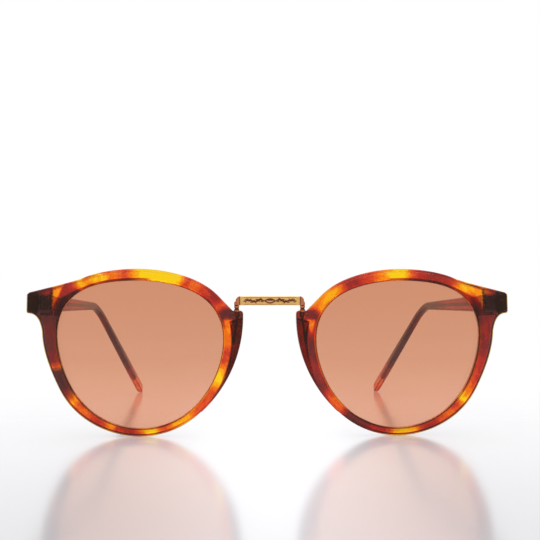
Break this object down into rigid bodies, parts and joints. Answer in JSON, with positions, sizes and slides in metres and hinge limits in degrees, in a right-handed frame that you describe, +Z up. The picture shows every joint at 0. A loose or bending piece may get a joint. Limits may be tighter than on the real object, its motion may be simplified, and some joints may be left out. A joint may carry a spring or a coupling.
{
  "type": "round sunglasses",
  "caption": "Round sunglasses with tortoise rims, a flat metal bridge bar on sunk legs, saddle nose pads, tinted lenses and folding temples with dropped ends.",
  "frame": {"origin": "on the table, in the middle of the width over the end pieces and of the depth from the bar to the temple tips", "axes": "+Z up, the front faces -Y, the temples run back along +Y, +X is the wearer's left side"},
  "size_m": [0.1432, 0.1378, 0.0487],
  "materials": {
    "tortoise": "polished translucent tortoise acetate",
    "pad": "polished translucent acetate",
    "lens": "clear rose-brown tint, polished",
    "gold": "plated pale gold, engraved on the bar",
    "hinge_steel": "fine machined nickel silver"
  },
  "bodies": {
    "front": {"rim_right": "tortoise", "rim_left": "tortoise", "lens_right": "lens", "lens_left": "lens", "nose_pad_right": "pad", "nose_pad_left": "pad", "bridge_bar": "gold", "bridge_leg_right": "gold", "bridge_leg_left": "gold", "hinge_front_right": "hinge_steel", "hinge_front_left": "hinge_steel", "hinge_screw_right": "hinge_steel", "hinge_screw_left": "hinge_steel"},
    "temple_right": {"temple_right": "tortoise", "hinge_temple_right": "hinge_steel", "temple_core_right": "hinge_steel", "temple_rivets_right": "gold"},
    "temple_left": {"temple_left": "tortoise", "hinge_temple_left": "hinge_steel", "temple_core_left": "hinge_steel", "temple_rivets_left": "gold"}
  },
  "joints": [
    {"name": "temple_left_fold", "type": "hinge", "parent": "front", "child": "temple_left", "pos_m": [0.06575, -0.05541, 0.03867], "axis": [0, 0, 1], "range_deg": [0, 84]},
    {"name": "temple_right_fold", "type": "hinge", "parent": "front", "child": "temple_right", "pos_m": [-0.06575, -0.05541, 0.03867], "axis": [0, 0, -1], "range_deg": [0, 79]}
  ]
}
